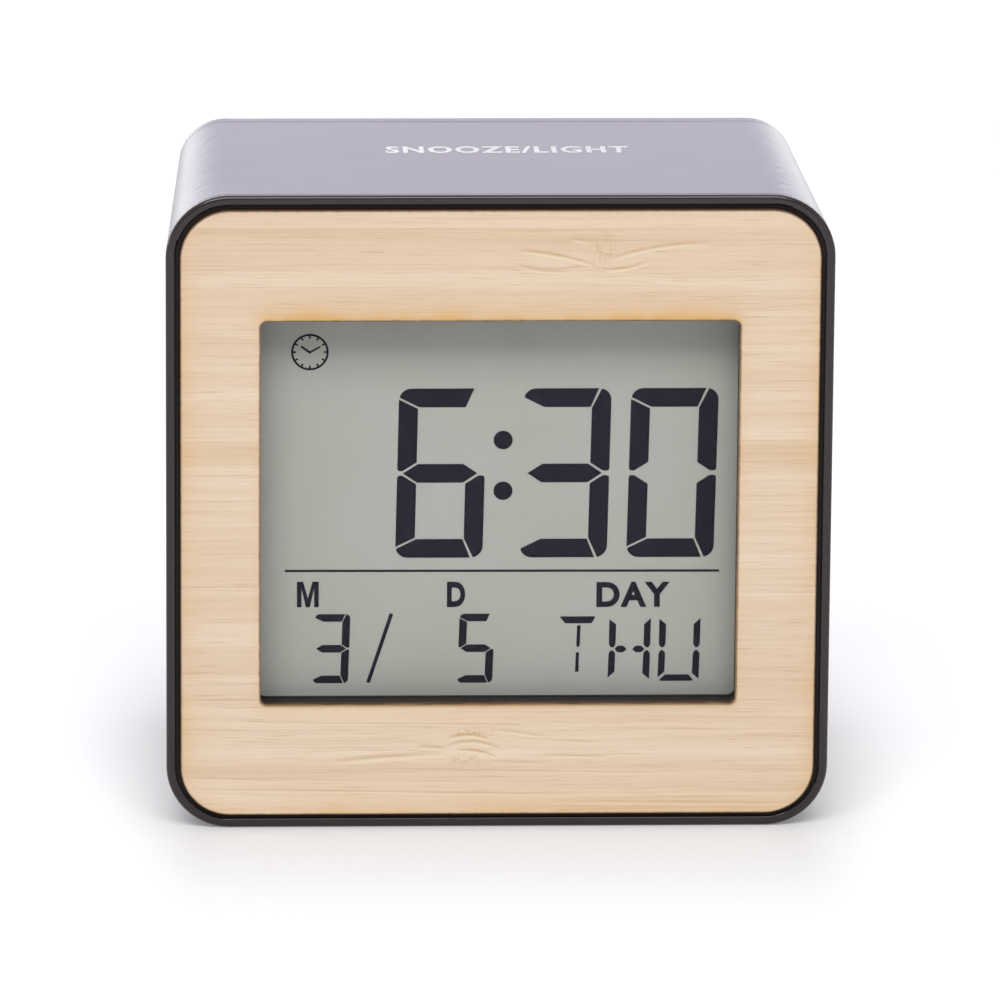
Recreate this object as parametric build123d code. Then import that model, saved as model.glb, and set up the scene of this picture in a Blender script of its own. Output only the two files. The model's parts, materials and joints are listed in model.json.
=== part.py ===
"""Desk clock with a bamboo front panel, a reflective liquid crystal display and a black moulded case.

Millimetres. +Z is up, the display faces -Y, and the origin is at the bottom centre of the whole clock.
Depths are written as s, the distance behind the rim of the front bezel, and turned into Y by y_at().
"""

import os
from math import cos, pi, radians, sin, tan

from build123d import *

# Overall sizes of the case
case_width = 80.0
case_height = 78.5
case_depth = 50.0
corner_radius = 7.7
draft_angle = 2.25  # degrees, on the sides and the top; the underside is flat

# Clearances and cutting
overrun = 1.0
seat_gap = 0.05
assembly_gap = 0.2
slide_gap = 0.25

# Bamboo panel and the tape under it
rim_width = 1.15
groove_width = 0.55
groove_depth = 0.4
panel_fit = 0.1
panel_thickness = 2.0
panel_proud = 0.4
panel_edge_round = 0.15
tape_thickness = 0.15
tape_margin = 1.5
window_width = 57.3
window_height = 47.8
window_corner = 0.8

# Front bezel
rim_depth = 0.9
rim_round = 0.45
rim_lip_round = 0.2
neck_inset = 1.25
web_thickness = 1.8
window_ease = 0.3
post_radius = 2.6
post_side_inset = 10.2
post_low_height = 6.6
post_top_drop = 8.8
post_rear_gap = 0.3
board_boss_radius = 1.9

# Lower housing and the moving top
housing_wall = 2.0
housing_lip = 1.1
split_height = 58.0
cover_wall = 1.8
cover_lip = 0.55
deck_wall = 1.4
press_travel = 0.5
press_gap = 0.8
split_gap = 0.8
shoulder = 2.2

# Rear cover
plate_thickness = 2.6
plate_round = 0.5
lip_depth = 1.6
lip_wall = 1.4
seat_clearance = 0.15

# Display stack, front to back
lens_thickness = 0.8
gasket_thickness = 0.4
gasket_width = 1.2
display_margin = 1.5
polariser_thickness = 0.2
glass_thickness = 1.1
contact_ledge = 2.6
guide_thickness = 2.2
guide_short = 2.6
led_width = 2.0
led_height = 3.2
led_thickness = 1.8
led_spread = 14.0
holder_wall = 1.6
zebra_thickness = 2.0
zebra_margin = 2.0

# Boards
board_thickness = 1.2
board_air = 0.3
main_board_side_gap = 1.1
main_board_bottom = 10.2
main_board_top = 55.5
main_screw_low = 16.0
main_screw_high = 50.0
main_screw_inset = 2.0
blob_radius = 7.0
blob_height = 1.8
blob_place_x = -8.0
blob_place_z = 32.0
crystal_radius = 1.0
crystal_length = 6.0
crystal_place_x = 12.0
crystal_place_z = 30.0
chip_length = 2.0
chip_width = 1.25
chip_height = 0.6
chip_pitch = 4.0
chip_count = 6
chip_row_x = 6.0
chip_rows_z = (20.0, 42.0)

# Screws
screw_radius = 1.1
screw_bore_radius = 0.9
screw_head_radius = 2.1
screw_head_height = 1.4
screw_bite = 6.0
case_screw_length = 11.0
case_screw_well = 1.9
slot_width = 0.6
slot_depth = 0.6

# Batteries, size AAA
cell_radius = 5.25
cell_length = 44.5
cell_nub_radius = 1.9
cell_nub_length = 0.8
cell_gap = 0.8
bay_wall = 1.4
bay_end_room = 2.2
bay_floor_gap = 0.3
bay_centre_z = 21.5
contact_thickness = 0.4
contact_width = 8.0
contact_tail_width = 2.0
spring_wire = 0.5
spring_radius = 2.6

# Battery door
door_width = 53.0
door_height = 27.0
door_thickness = 1.6
door_gap = 0.25
door_corner = 2.0
pivot_radius = 0.45
pivot_length = 1.2
pivot_clearance = 0.05
door_rib_count = 5
door_rib_height = 0.4
door_rib_width = 0.6
door_rib_pitch = 1.4
door_rib_length = 12.0
door_rib_drop = 4.0
latch_width = 9.0
latch_reach = 0.9
latch_thickness = 0.8

# Rear keys
key_names = ("mode", "set", "up", "down")
key_pitch = 14.0
key_height = 60.0
key_radius = 3.5
key_gap = 0.2
key_proud = 0.8
key_round = 0.4
key_flange_radius = 4.6
key_flange_thickness = 1.0
key_stem_radius = 1.5
key_flange_gap = 0.1

# Tactile switches
switch_side = 6.0
switch_height = 3.5
plunger_radius = 1.6
plunger_gap = 0.1
plunger_proud = 1.1
plunger_depth = 1.3
plunger_room = 0.9

# Key board behind the rear cover
key_board_air = 7.0
key_board_half_width = 32.5
key_board_bottom = 38.0
key_board_top = 65.8
key_boss_x = 29.5
key_boss_heights = (41.0, 62.6)
key_boss_radius = 2.1

# Alarm slide switch
alarm_x = 16.0
alarm_height = 47.0
alarm_body_length = 9.0
alarm_body_width = 4.4
alarm_body_height = 3.6
alarm_knob_length = 3.4
alarm_knob_width = 2.8
alarm_travel = 3.0
alarm_knob_proud = 0.5
alarm_knob_root = 1.4
alarm_slot_gap = 0.25
alarm_rib_depth = 0.35

# Sounder
sounder_x = -14.0
sounder_height = 46.0
sounder_radius = 8.0
sounder_wall = 1.2
sounder_depth = 3.0
sounder_disc_thickness = 0.4
sounder_disc_setback = 0.9
grille_radius = 0.75
grille_circle = 4.0
grille_count = 8

# Snooze switch under the deck
snooze_board_half_width = 10.5
snooze_board_half_depth = 5.0
snooze_board_thickness = 1.0
snooze_boss_spread = 8.0
snooze_boss_radius = 1.9
snooze_post_radius = 2.5
snooze_post_gap = 0.5
snooze_post_drop = 1.1
snooze_touch_gap = 0.05
pad_radius = 2.5
pad_pocket = 0.7
pad_spread_x = 14.0
pad_spread_s = 12.0
hook_spread_x = 22.0
hook_spread_s = 15.0
hook_width = 4.0
hook_thickness = 1.4
hook_barb = 0.8
hook_barb_height = 1.2
hook_slot_gap = 0.3

# Flat cable between the two boards
cable_width = 12.0
cable_thickness = 0.5
cable_x = 20.0
cable_main_z = 46.0
cable_key_z = 54.5
cable_bend = 2.0

# Places worked out from the sizes above
s_middle = (case_depth + key_proud - panel_proud) / 2
s_pocket = panel_thickness - panel_proud + tape_thickness
s_web_back = s_pocket + web_thickness
s_lens_back = s_web_back + lens_thickness
s_polariser = s_lens_back + gasket_thickness
s_glass = s_polariser + polariser_thickness
s_reflector = s_glass + 2 * glass_thickness
s_guide = s_reflector + polariser_thickness
s_guide_back = s_guide + guide_thickness
s_main_board = s_guide_back + board_air
s_main_board_back = s_main_board + board_thickness
s_plate = case_depth - plate_thickness
s_door = case_depth - door_thickness
s_cell = s_door - bay_floor_gap - cell_radius
s_bay_floor = s_cell - cell_radius - bay_floor_gap
s_key_board_back = s_plate - key_board_air
s_key_board = s_key_board_back - board_thickness
s_snooze = (rim_depth + s_plate) / 2
panel_inset = rim_width + groove_width
panel_width = case_width - 2 * panel_inset
panel_height = case_height - 2 * panel_inset
panel_radius = corner_radius - panel_inset
window_z = case_height / 2
display_width = window_width + 2 * display_margin
display_height = window_height + 2 * display_margin
deck_side = cover_wall + slide_gap + deck_wall
deck_top = cover_wall + press_gap + deck_wall
bay_height = 4 * cell_radius + cell_gap
bay_width = cell_length + cell_nub_length + 2 * bay_end_room
post_places = [
    (side * (case_width / 2 - post_side_inset), height)
    for height in (post_low_height, case_height - post_top_drop)
    for side in (-1, 1)
]
board_screw_x = case_width / 2 - housing_wall - main_board_side_gap - main_screw_inset - slide_gap
board_screw_places = [
    (side * board_screw_x, height)
    for side in (-1, 1)
    for height in (main_screw_low, main_screw_high)
]


def y_at(s):
    """The Y of a depth s behind the rim."""
    return s - s_middle


def taper_at(s):
    """How far the drafted sides and top have moved in at depth s."""
    return s * tan(radians(draft_angle))


def top_at(s, inset):
    """The height of the drafted top at depth s, inset below the outer surface."""
    return case_height - taper_at(s) - inset


def section(s, side, top, bottom):
    """The case's outline at depth s, drawn in by its own inset at the sides, the top and the bottom."""
    width = case_width - 2 * (taper_at(s) + side)
    high = top_at(s, top)
    radius = corner_radius - taper_at(s) - side
    plane = Plane(origin=(0, y_at(s), (high + bottom) / 2), x_dir=(1, 0, 0), z_dir=(0, -1, 0))
    return plane * RectangleRounded(width, high - bottom, radius)


def case_prism(s_from, s_to, side=0.0, top=0.0, bottom=0.0):
    """A drafted solid that follows the case from one depth to another."""
    return loft([section(s_from, side, top, bottom), section(s_to, side, top, bottom)], ruled=True)


def block(x, s_from, s_to, z_from, z_to, width):
    """A box centred on x, between two depths and two heights."""
    centre = (x, y_at((s_from + s_to) / 2), (z_from + z_to) / 2)
    return Pos(*centre) * Box(width, s_to - s_from, z_to - z_from)


def rod_s(x, z, s_from, s_to, radius):
    """A cylinder that runs back along the depth."""
    return Pos(x, y_at((s_from + s_to) / 2), z) * Rot(X=90) * Cylinder(radius, s_to - s_from)


def rod_x(x_from, x_to, s, z, radius):
    """A cylinder across the clock."""
    return Pos((x_from + x_to) / 2, y_at(s), z) * Rot(Y=90) * Cylinder(radius, x_to - x_from)


def rod_z(x, s, z_from, z_to, radius):
    """An upright cylinder."""
    return Pos(x, y_at(s), (z_from + z_to) / 2) * Cylinder(radius, z_to - z_from)


def flat_plate(s_from, s_to, width, height, radius, z=window_z):
    """A plate with round corners, square to the depth."""
    plane = Plane(origin=(0, y_at(s_from), z), x_dir=(1, 0, 0), z_dir=(0, 1, 0))
    return extrude(plane * RectangleRounded(width, height, radius), s_to - s_from)


def edges_at(shape, s):
    """The edges that lie in the plane at depth s."""
    return shape.edges().filter_by_position(Axis.Y, y_at(s) - seat_gap, y_at(s) + seat_gap)


def back_screw(x, z, s_head, length, s_way=1):
    """A slotted screw along the depth, head at s_head; s_way is the way its head faces."""
    s_head_in = s_head - s_way * screw_head_height
    s_tip = s_head_in - s_way * length
    head = rod_s(x, z, min(s_head, s_head_in), max(s_head, s_head_in), screw_head_radius)
    shank = rod_s(x, z, min(s_tip, s_head_in), max(s_tip, s_head_in), screw_bore_radius)
    s_slot = s_head - s_way * slot_depth
    s_out = s_head + s_way * overrun
    slot = block(x, min(s_slot, s_out), max(s_slot, s_out), z - slot_width / 2, z + slot_width / 2,
                 3 * screw_head_radius)
    return head + shank - slot


def bamboo_panel():
    panel = flat_plate(-panel_proud, panel_thickness - panel_proud, panel_width, panel_height, panel_radius)
    window = flat_plate(-panel_proud - overrun, panel_thickness, window_width, window_height, window_corner)
    panel -= window
    return fillet(edges_at(panel, -panel_proud), panel_edge_round)


def panel_tape():
    s_front = panel_thickness - panel_proud
    ring = flat_plate(s_front, s_pocket, panel_width - 2 * tape_margin, panel_height - 2 * tape_margin,
                      panel_radius - tape_margin)
    hole = flat_plate(s_front - overrun, s_pocket + overrun, window_width + 2 * tape_margin,
                      window_height + 2 * tape_margin, window_corner + tape_margin)
    return ring - hole


def front_bezel():
    rim = fillet(edges_at(case_prism(0, rim_depth), 0), rim_round)
    rim -= flat_plate(-overrun, groove_depth, panel_width + 2 * groove_width, panel_height + 2 * groove_width,
                      panel_radius + groove_width)
    front = rim.faces().filter_by_position(Axis.Y, y_at(0) - seat_gap, y_at(0) + seat_gap)
    body = fillet(front.sort_by(SortBy.AREA)[-1].inner_wires()[0].edges(), rim_lip_round)
    body += case_prism(groove_depth + rim_lip_round, s_web_back, neck_inset, neck_inset, neck_inset)
    body -= flat_plate(-overrun, s_pocket, panel_width + 2 * panel_fit, panel_height + 2 * panel_fit,
                       panel_radius + panel_fit)
    s_post_end = s_plate - post_rear_gap
    for x, z in post_places:
        body += rod_s(x, z, s_pocket, s_post_end, post_radius)
    for x, z in board_screw_places:
        body += rod_s(x, z, s_pocket, s_main_board, board_boss_radius)
    body -= flat_plate(0, s_web_back + overrun, window_width + window_ease, window_height + window_ease,
                       window_corner)
    for x, z in post_places:
        body -= rod_s(x, z, s_post_end - case_screw_length, s_post_end + overrun, screw_bore_radius)
    for x, z in board_screw_places:
        body -= rod_s(x, z, s_main_board - screw_bite, s_main_board + overrun, screw_bore_radius)
    return body


def lower_housing():
    shell = case_prism(rim_depth, s_plate) & block(0, 0, case_depth, -overrun, split_height, 2 * case_width)
    shell += case_prism(rim_depth, s_plate, cover_wall + slide_gap, cover_wall + press_gap)
    shell -= case_prism(rim_depth - overrun, s_web_back + assembly_gap, housing_lip, housing_lip, housing_lip)
    room = case_prism(rim_depth, s_plate + overrun, housing_wall, housing_wall, housing_wall)
    room &= block(0, 0, case_depth + overrun, 0, split_height - shoulder, 2 * case_width)
    shell -= room
    shell -= case_prism(rim_depth, s_plate + overrun, deck_side, deck_top, housing_wall)
    for x in (-snooze_boss_spread, snooze_boss_spread):
        shell += rod_z(x, s_snooze, snooze_board_top(), top_at(s_snooze, deck_top) + deck_wall / 2,
                       snooze_boss_radius)
        shell -= rod_z(x, s_snooze, snooze_board_top() - overrun, top_at(s_snooze, deck_top),
                       screw_bore_radius)
    shell -= rod_z(0, s_snooze, split_height, case_height, snooze_post_radius + snooze_post_gap)
    for x, s in pad_places():
        shell -= rod_z(x, s, top_at(s, cover_wall + press_gap) - pad_pocket, case_height,
                       pad_radius + assembly_gap)
    for x, s, way in hook_places():
        shell -= block(x, *span(s, way, -hook_slot_gap, hook_thickness + hook_barb + 2 * hook_slot_gap),
                       split_height, case_height, hook_width + 2 * hook_slot_gap)
    return shell


def span(s, way, near, length):
    """Two depths in rising order, from near and going on by length, measured from s towards way."""
    ends = (s + way * near, s + way * (near + length))
    return min(ends), max(ends)


def pad_places():
    """The places of the four return pads."""
    return [(x, s_snooze + s) for x in (-pad_spread_x, pad_spread_x) for s in (-pad_spread_s, pad_spread_s)]


def hook_places():
    """The places of the four hooks and the way that each barb points."""
    return [(x, s_snooze + way * hook_spread_s, way)
            for x in (-hook_spread_x, hook_spread_x) for way in (-1, 1)]


def snooze_switch_top():
    """The height of the snooze switch's plunger at rest."""
    return top_at(s_snooze, deck_top) - snooze_post_drop


def snooze_board_top():
    """The height of the snooze board's upper face."""
    return snooze_switch_top() - plunger_proud - switch_height


def snooze_light_cover():
    s_from = rim_depth + assembly_gap
    s_to = s_plate - assembly_gap
    shell = case_prism(s_from, s_to)
    shell &= block(0, 0, case_depth, split_height + split_gap, case_height + overrun, 2 * case_width)
    shell -= case_prism(s_from - overrun, s_web_back + 2 * assembly_gap, cover_lip, cover_lip, -overrun)
    shell -= case_prism(s_from, s_to + overrun, cover_wall, cover_wall, -overrun)
    under = case_prism(s_from, s_to, cover_wall / 2, cover_wall / 2)
    post = rod_z(0, s_snooze, snooze_switch_top() + snooze_touch_gap, case_height, snooze_post_radius)
    shell += post & under
    for x, s, way in hook_places():
        z_catch = top_at(s + way * (hook_thickness + hook_barb), deck_top) - 2 * seat_gap
        z_catch = min(z_catch, top_at(s, deck_top) - 2 * seat_gap)
        leg = block(x, *span(s, way, 0, hook_thickness), z_catch - hook_barb_height, case_height, hook_width)
        barb = block(x, *span(s, way, 0, hook_thickness + hook_barb), z_catch - hook_barb_height, z_catch,
                     hook_width)
        shell += (leg & under) + barb
    return shell


def snooze_return_pads():
    pads = []
    for x, s in pad_places():
        z_pad = top_at(s, cover_wall + press_gap) - pad_pocket + press_travel + seat_gap
        pad = rod_z(x, s, z_pad, case_height, pad_radius)
        pads.append(pad & case_prism(rim_depth, s_plate, cover_wall, cover_wall + seat_gap))
    return pads


def tact_switch(plane_place, rotation):
    """A tactile switch's body, standing along its own Z on z = 0, then placed."""
    body = Pos(0, 0, switch_height / 2) * Box(switch_side, switch_side, switch_height)
    well = plunger_depth + plunger_room
    body -= Pos(0, 0, switch_height - well / 2 + overrun / 2) * Cylinder(plunger_radius + plunger_gap,
                                                                         well + overrun)
    return plane_place * rotation * body


def snooze_switch_body():
    return tact_switch(Pos(0, y_at(s_snooze), snooze_board_top()), Rot())


def snooze_switch_plunger():
    top = snooze_switch_top()
    return rod_z(0, s_snooze, top - plunger_proud - plunger_depth, top, plunger_radius)


def snooze_board():
    top = snooze_board_top()
    board = block(0, s_snooze - snooze_board_half_depth, s_snooze + snooze_board_half_depth,
                  top - snooze_board_thickness, top, 2 * snooze_board_half_width)
    for x in (-snooze_boss_spread, snooze_boss_spread):
        board -= rod_z(x, s_snooze, top - 2 * overrun, top + overrun, screw_radius)
    return board


def snooze_board_screws():
    screws = []
    top = snooze_board_top() - snooze_board_thickness
    for x in (-snooze_boss_spread, snooze_boss_spread):
        head = rod_z(x, s_snooze, top - screw_head_height, top, screw_head_radius)
        shank = rod_z(x, s_snooze, top, snooze_board_top() + plunger_proud + plunger_depth, screw_bore_radius)
        slot = block(x, s_snooze - 2 * screw_head_radius, s_snooze + 2 * screw_head_radius,
                     top - screw_head_height - overrun, top - screw_head_height + slot_depth, slot_width)
        screws.append(head + shank - slot)
    return screws


def display_gasket():
    outer = flat_plate(s_lens_back, s_polariser, window_width + window_ease + 2 * gasket_width,
                       window_height + window_ease + 2 * gasket_width, window_corner + gasket_width)
    inner = flat_plate(s_lens_back - overrun, s_polariser + overrun, window_width + window_ease,
                       window_height + window_ease, window_corner)
    return outer - inner


def display_block(s_from, s_to, drop=0.0):
    """A full-size sheet of the display stack, taller at the bottom by drop."""
    low = window_z - display_height / 2 - drop
    return block(0, s_from, s_to, low, window_z + display_height / 2, display_width)


def light_guide():
    x_shift = guide_short / 2
    low = window_z - display_height / 2
    return block(-x_shift, s_guide, s_guide_back, low, window_z + display_height / 2, display_width - guide_short)


def backlight_leds():
    x = display_width / 2 - guide_short / 2
    s_mid = (s_guide + s_guide_back) / 2
    return [
        block(x, s_mid - led_thickness / 2, s_mid + led_thickness / 2, window_z + z - led_height / 2,
              window_z + z + led_height / 2, led_width)
        for z in (-led_spread, led_spread)
    ]


def display_holder():
    low = window_z - display_height / 2 - contact_ledge - assembly_gap
    high = window_z + display_height / 2 + assembly_gap
    width = display_width + 2 * assembly_gap
    frame = block(0, s_web_back, s_main_board, low - holder_wall, high + holder_wall, width + 2 * holder_wall)
    return frame - block(0, s_web_back - overrun, s_main_board + overrun, low, high, width)


def zebra_strip():
    z_low = window_z - display_height / 2 - contact_ledge
    s_front = s_glass + glass_thickness
    return block(0, s_front, s_main_board, z_low, z_low + zebra_thickness, display_width - 2 * zebra_margin)


def main_board():
    width = 2 * (board_screw_x + main_screw_inset)
    board = block(0, s_main_board, s_main_board_back, main_board_bottom, main_board_top, width)
    for x, z in board_screw_places:
        board -= rod_s(x, z, s_main_board - overrun, s_main_board_back + overrun, screw_radius)
    return board


def main_board_screws():
    s_head = s_main_board_back + screw_head_height
    return [back_screw(x, z, s_head, screw_bite) for x, z in board_screw_places]


def controller_blob():
    ball_radius = (blob_radius**2 + blob_height**2) / (2 * blob_height)
    s_centre = s_main_board_back + blob_height - ball_radius
    ball = Pos(blob_place_x, y_at(s_centre), blob_place_z) * Sphere(ball_radius)
    keep = block(blob_place_x, s_main_board_back, s_main_board_back + 2 * blob_height,
                 blob_place_z - 2 * blob_radius, blob_place_z + 2 * blob_radius, 4 * blob_radius)
    return ball & keep


def quartz_crystal():
    s = s_main_board_back + crystal_radius
    return rod_x(crystal_place_x, crystal_place_x + crystal_length, s, crystal_place_z, crystal_radius)


def chip_parts():
    s_to = s_main_board_back + chip_height
    return [
        block(chip_row_x + (i - chip_count / 2) * chip_pitch, s_main_board_back, s_to,
              z - chip_width / 2, z + chip_width / 2, chip_length)
        for i in range(chip_count) for z in chip_rows_z
    ]


def door_low():
    """The height of the battery door's lower edge."""
    return bay_centre_z - door_height / 2


def door_hinge():
    """The depth and height of the battery door's pivot line, the middle of its round lower edge."""
    return case_depth - door_thickness / 2, door_low() + door_thickness / 2


def door_pivots(radius, end_room):
    """The two pivot pins at the ends of the door's lower edge, or the bores that hold them."""
    near, far = door_width / 2 - overrun, door_width / 2 + door_gap + pivot_length + end_room
    s_pivot, z_pivot = door_hinge()
    return rod_x(near, far, s_pivot, z_pivot, radius) + rod_x(-far, -near, s_pivot, z_pivot, radius)


def bay_box(grow, s_from, s_to):
    """The battery bay's outline, grown by grow all round."""
    half = bay_height / 2 + grow
    return block(0, s_from, s_to, bay_centre_z - half, bay_centre_z + half, bay_width + 2 * grow)


def rear_cover():
    plate = case_prism(s_plate, case_depth)
    plate = fillet(edges_at(plate, case_depth), plate_round)
    lip = case_prism(s_plate - lip_depth, s_plate, deck_side + seat_clearance, deck_top + seat_clearance,
                     housing_wall + seat_clearance)
    lip -= case_prism(s_plate - lip_depth - overrun, s_plate + overrun, deck_side + seat_clearance + lip_wall,
                      deck_top + seat_clearance + lip_wall, housing_wall + seat_clearance + lip_wall)
    body = plate + lip
    body += bay_box(bay_wall, s_bay_floor - bay_wall, s_plate)
    for x in key_boss_xs():
        for z in key_boss_heights:
            body += rod_s(x, z, s_key_board_back, s_plate, key_boss_radius)
    for x, z in post_places:
        body -= rod_s(x, z, s_plate - lip_depth - overrun, s_plate, post_radius + assembly_gap)
        body -= rod_s(x, z, s_plate - overrun, case_depth + overrun, screw_radius)
        body -= rod_s(x, z, case_depth - case_screw_well, case_depth + overrun, screw_head_radius + assembly_gap)
    body -= bay_box(0, s_bay_floor, s_plate + overrun)
    body -= door_recess()
    for x in key_boss_xs():
        for z in key_boss_heights:
            body -= rod_s(x, z, s_key_board_back - overrun, s_plate - overrun, screw_bore_radius)
    for x in key_xs():
        body -= rod_s(x, key_height, s_plate - overrun, case_depth + overrun, key_radius + key_gap)
    body -= block(alarm_x + alarm_travel / 2, s_plate - overrun, case_depth + overrun,
                  alarm_height - alarm_knob_width / 2 - alarm_slot_gap,
                  alarm_height + alarm_knob_width / 2 + alarm_slot_gap,
                  alarm_knob_length + alarm_travel + 2 * alarm_slot_gap)
    for x, z in grille_places():
        body -= rod_s(x, z, s_plate - overrun, case_depth + overrun, grille_radius)
    for x in contact_tail_xs():
        body -= contact_tail_slot(x)
    return body


def key_boss_xs():
    """The places across the clock of the key board's bosses."""
    return (-key_boss_x, key_boss_x)


def key_xs():
    """The places of the four rear keys across the clock."""
    return [(i - (len(key_names) - 1) / 2) * key_pitch for i in range(len(key_names))]


def door_recess():
    """What the battery door, its pivots and its finger tab need cut from the rear cover."""
    half = door_height / 2 + door_gap
    recess = block(0, s_door, case_depth + overrun, bay_centre_z - half, bay_centre_z + half,
                   door_width + 2 * door_gap)
    z_top = bay_centre_z + door_height / 2
    recess += block(0, s_door, case_depth + overrun, bay_centre_z, z_top + latch_reach + door_gap,
                    latch_width + 2 * door_gap)
    recess += door_pivots(pivot_radius + pivot_clearance, door_gap)
    recess += bay_box(0, s_plate - overrun, case_depth)
    # room for the door's round lower edge to turn in
    z_pivot = door_hinge()[1]
    recess += block(0, s_door - door_gap, case_depth, bay_centre_z - half, z_pivot + door_thickness / 2,
                    door_width + 2 * door_gap)
    return recess


def battery_door():
    half = door_height / 2
    door = block(0, s_door, case_depth, bay_centre_z - half, bay_centre_z + half, door_width)
    door = fillet(door.edges().filter_by(Axis.Y).group_by(Axis.Z)[-1], door_corner)
    lower = door.edges().filter_by(Axis.X).group_by(Axis.Z)[0]
    door = fillet(lower, door_thickness / 2 - seat_gap)
    door += door_pivots(pivot_radius, 0)
    z_top = bay_centre_z + half
    door += block(0, s_door, s_door + latch_thickness, z_top - door_corner, z_top + latch_reach, latch_width)
    for i in range(door_rib_count):
        z = z_top - door_rib_drop - i * door_rib_pitch
        door -= block(0, case_depth - door_rib_height, case_depth + overrun, z - door_rib_width / 2,
                      z + door_rib_width / 2, door_rib_length)
    return door


def cell_rows():
    """The height of each cell and the way its positive end points."""
    offset = cell_radius + cell_gap / 2
    return [(bay_centre_z - offset, 1), (bay_centre_z + offset, -1)]


def cell_shift(way):
    """How far a cell's middle lies from the bay's middle: the negative end leaves room for the spring."""
    return way * (bay_width / 2 - contact_thickness - cell_nub_length - cell_length / 2)


def battery_cells():
    cells = []
    for z, way in cell_rows():
        middle = cell_shift(way)
        can = rod_x(middle - cell_length / 2, middle + cell_length / 2, s_cell, z, cell_radius)
        ends = (middle + way * cell_length / 2, middle + way * (cell_length / 2 + cell_nub_length))
        cells.append(can + rod_x(min(ends), max(ends), s_cell, z, cell_nub_radius))
    return cells


def contact_tail_xs():
    """The two ends of the bay at which a contact's tail goes up to the key board."""
    return (-bay_width / 2, bay_width / 2)


def contact_tail_slot(x):
    """The slot in the bay's top wall that a contact's tail goes up through."""
    way = 1 if x > 0 else -1
    x_mid = x - way * contact_thickness / 2
    z_top = bay_centre_z + bay_height / 2
    return block(x_mid, s_cell - contact_tail_width, s_cell + contact_tail_width, z_top - overrun,
                 z_top + bay_wall + overrun, contact_thickness + 2 * seat_gap)


def contact_plates():
    """Two single contacts at the upper cell's and lower cell's outer ends, each with a tail, and one bridge."""
    plates = []
    z_low, z_high = cell_rows()[0][0], cell_rows()[1][0]
    x_mid = bay_width / 2 - contact_thickness / 2
    z_tail = key_board_bottom + 2 * overrun
    half = contact_width / 2
    for way in (-1, 1):
        x = way * x_mid
        upper = block(x, s_cell - half, s_cell + half, z_high - half, z_high + half, contact_thickness)
        tail = block(x, s_cell - contact_tail_width / 2, s_cell + contact_tail_width / 2, z_high, z_tail,
                     contact_thickness)
        lower = block(x, s_cell - half, s_cell + half, z_low - half, z_low + half, contact_thickness)
        if way > 0:
            plates.append(upper + tail)
            plates.append(lower)
        else:
            plates.append(upper + tail + lower)
    return plates


def spring_turns():
    """The two coil springs that press the cells' negative ends."""
    springs = []
    for z, way in cell_rows():
        x_plate = -way * (bay_width / 2 - contact_thickness)
        x_cell = cell_shift(way) - way * cell_length / 2
        length = abs(x_cell - x_plate)
        turns_length = length - spring_wire - 2 * seat_gap
        start = Location((x_plate + way * (spring_wire / 2 + seat_gap), y_at(s_cell), z), (0, way * 90, 0))
        path = Helix(turns_length / 2, turns_length, spring_radius)
        coil = sweep(Plane(origin=path @ 0, z_dir=path % 0) * Circle(spring_wire / 2), path)
        springs.append(start * coil)
    return springs


def rear_key(x):
    s_face = case_depth + key_proud
    s_flange = s_plate - key_flange_gap
    cap = rod_s(x, key_height, s_flange - key_flange_thickness, s_face, key_radius)
    cap = fillet(edges_at(cap, s_face), key_round)
    flange = rod_s(x, key_height, s_flange - key_flange_thickness, s_flange, key_flange_radius)
    s_plunger = s_key_board_back + switch_height + plunger_proud + snooze_touch_gap
    stem = rod_s(x, key_height, s_plunger, s_flange, key_stem_radius)
    return cap + flange + stem


def key_plunger(x):
    s_top = s_key_board_back + switch_height
    return rod_s(x, key_height, s_top - plunger_depth, s_top + plunger_proud, plunger_radius)


def key_switches():
    return [tact_switch(Pos(x, y_at(s_key_board_back), key_height), Rot(X=-90)) for x in key_xs()]


def key_board():
    board = block(0, s_key_board, s_key_board_back, key_board_bottom, key_board_top, 2 * key_board_half_width)
    for x in key_boss_xs():
        for z in key_boss_heights:
            board -= rod_s(x, z, s_key_board - overrun, s_key_board_back + overrun, screw_radius)
    for x in contact_tail_xs():
        way = 1 if x > 0 else -1
        board -= block(x - way * contact_thickness / 2, s_key_board - overrun, s_key_board_back + overrun,
                       key_board_bottom - overrun, key_board_bottom + 2 * overrun + seat_gap,
                       contact_thickness + 2 * seat_gap)
    return board


def key_board_screws():
    return [back_screw(x, z, s_key_board - screw_head_height, key_board_air / 2 + board_thickness, -1)
            for x in key_boss_xs() for z in key_boss_heights]


def alarm_switch_body():
    s_to = s_key_board_back + alarm_body_height
    x = alarm_x + alarm_travel / 2
    body = block(x, s_key_board_back, s_to, alarm_height - alarm_body_width / 2,
                 alarm_height + alarm_body_width / 2, alarm_body_length)
    slot = block(x, s_to - alarm_knob_root - assembly_gap, s_to + overrun,
                 alarm_height - alarm_knob_width / 2 - assembly_gap,
                 alarm_height + alarm_knob_width / 2 + assembly_gap,
                 alarm_knob_length + alarm_travel + 2 * assembly_gap)
    return body - slot


def alarm_switch_knob():
    s_root = s_key_board_back + alarm_body_height - alarm_knob_root
    s_face = case_depth + alarm_knob_proud
    knob = block(alarm_x, s_root, s_face, alarm_height - alarm_knob_width / 2,
                 alarm_height + alarm_knob_width / 2, alarm_knob_length)
    for way in (-1, 0, 1):
        x = alarm_x + way * alarm_knob_length / 3
        knob -= block(x, s_face - alarm_rib_depth, s_face + overrun, alarm_height - alarm_knob_width,
                      alarm_height + alarm_knob_width, alarm_rib_depth)
    return knob


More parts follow.
